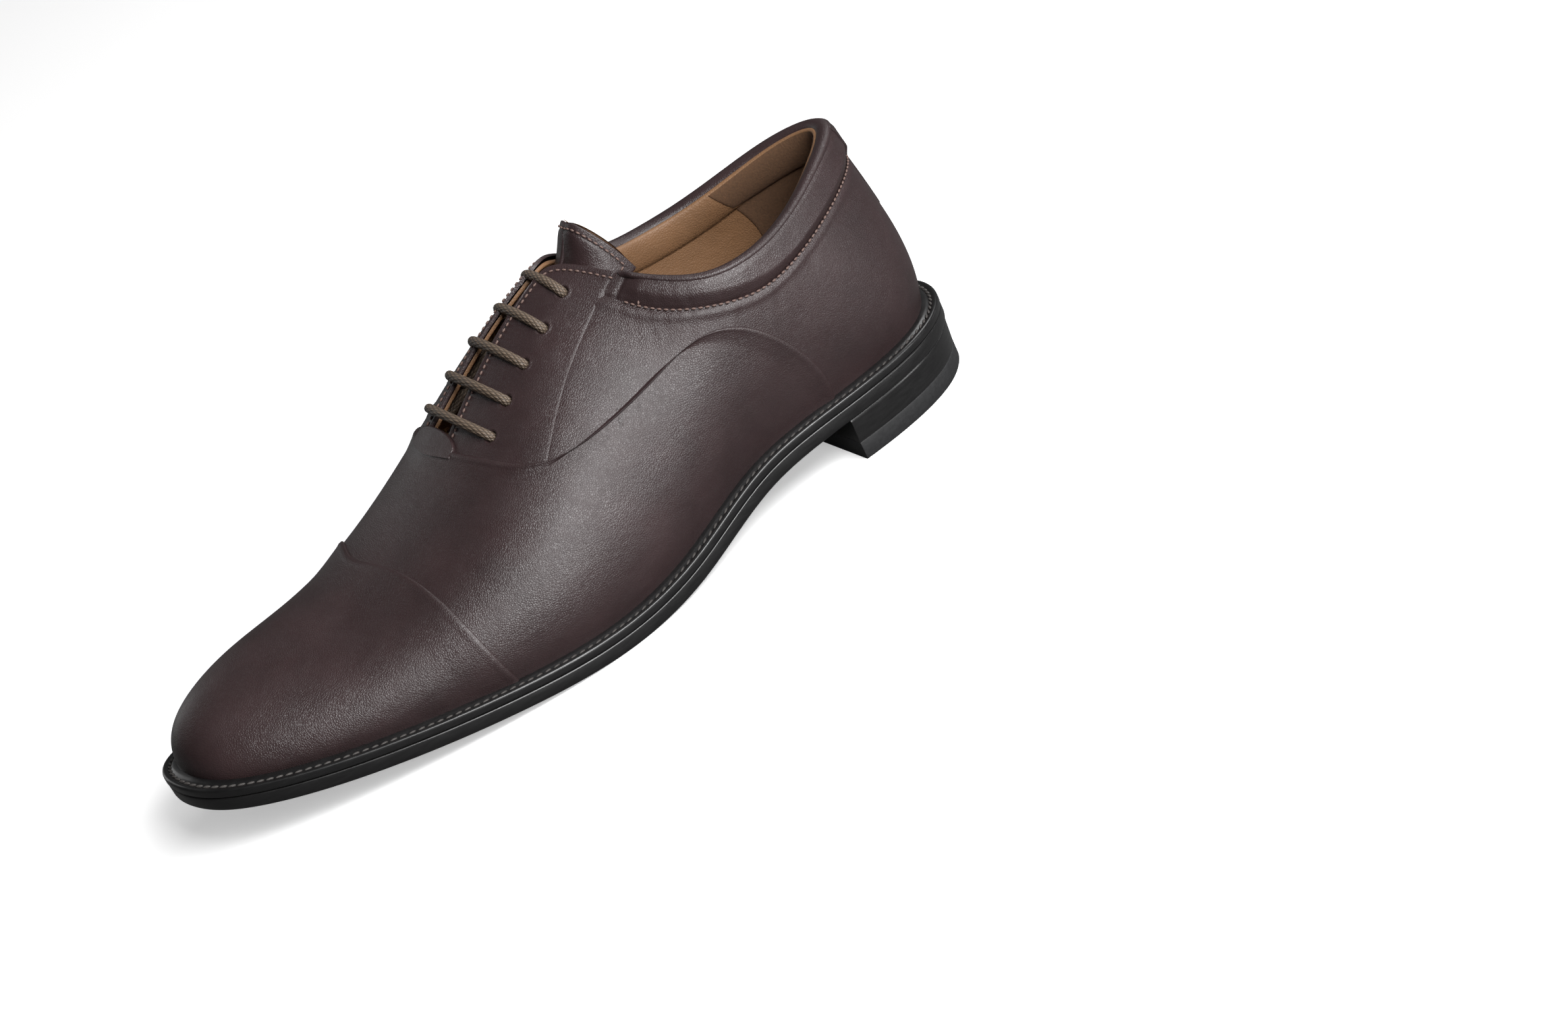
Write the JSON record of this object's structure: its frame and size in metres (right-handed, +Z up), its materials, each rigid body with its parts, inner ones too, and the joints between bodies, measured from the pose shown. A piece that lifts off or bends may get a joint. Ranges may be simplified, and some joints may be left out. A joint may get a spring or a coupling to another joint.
{
  "type": "leather oxford shoe",
  "caption": "Plain cap-toe oxford shoe for the left foot, in smooth leather with closed lacing, a padded collar, a welted sole and a stacked heel; the tongue swings on its root.",
  "frame": {"origin": "on the ground, under the middle of the sole's outline", "axes": "+X points to the toe, +Y to the outer side of the left foot, +Z up"},
  "size_m": [0.3026, 0.107, 0.1116],
  "materials": {
    "upper_leather": "satin",
    "lining_leather": "satin",
    "suede": "matte",
    "stiffener": "matte",
    "padding": "matte",
    "insole": "matte",
    "cork": "matte",
    "shank_steel": "satin",
    "sole_black": "satin",
    "heel_rubber": "matte",
    "nail_steel": "satin",
    "lace_cord": "satin"
  },
  "bodies": {
    "shoe": {"toe_cap": "upper_leather", "vamp": "upper_leather", "facing_lateral": "upper_leather", "facing_medial": "upper_leather", "quarter_lateral": "upper_leather", "quarter_medial": "upper_leather", "collar_lateral": "upper_leather", "collar_medial": "upper_leather", "collar_binding": "upper_leather", "back_strip": "upper_leather", "lacing_tab": "upper_leather", "toe_puff": "stiffener", "heel_counter": "stiffener", "collar_foam_lateral": "padding", "collar_foam_medial": "padding", "vamp_lining": "lining_leather", "quarter_lining_lateral": "lining_leather", "quarter_lining_medial": "lining_leather", "heel_grip": "suede", "lace": "lace_cord", "insole_board": "insole", "sock_liner": "lining_leather", "shank": "shank_steel", "cork_filler": "cork", "seat_filler": "stiffener", "welt": "sole_black", "outsole": "sole_black", "heel_stack": "sole_black", "top_piece": "heel_rubber", "heel_nails": "nail_steel"},
    "tongue": {"tongue": "upper_leather", "tongue_lining": "lining_leather"}
  },
  "joints": [
    {"name": "tongue_swing", "type": "hinge", "parent": "shoe", "child": "tongue", "pos_m": [0.008, -0.015, 0.07], "axis": [0, -1, 0], "range_deg": [0, 12], "stiffness_Nm_per_rad": 0.3}
  ]
}
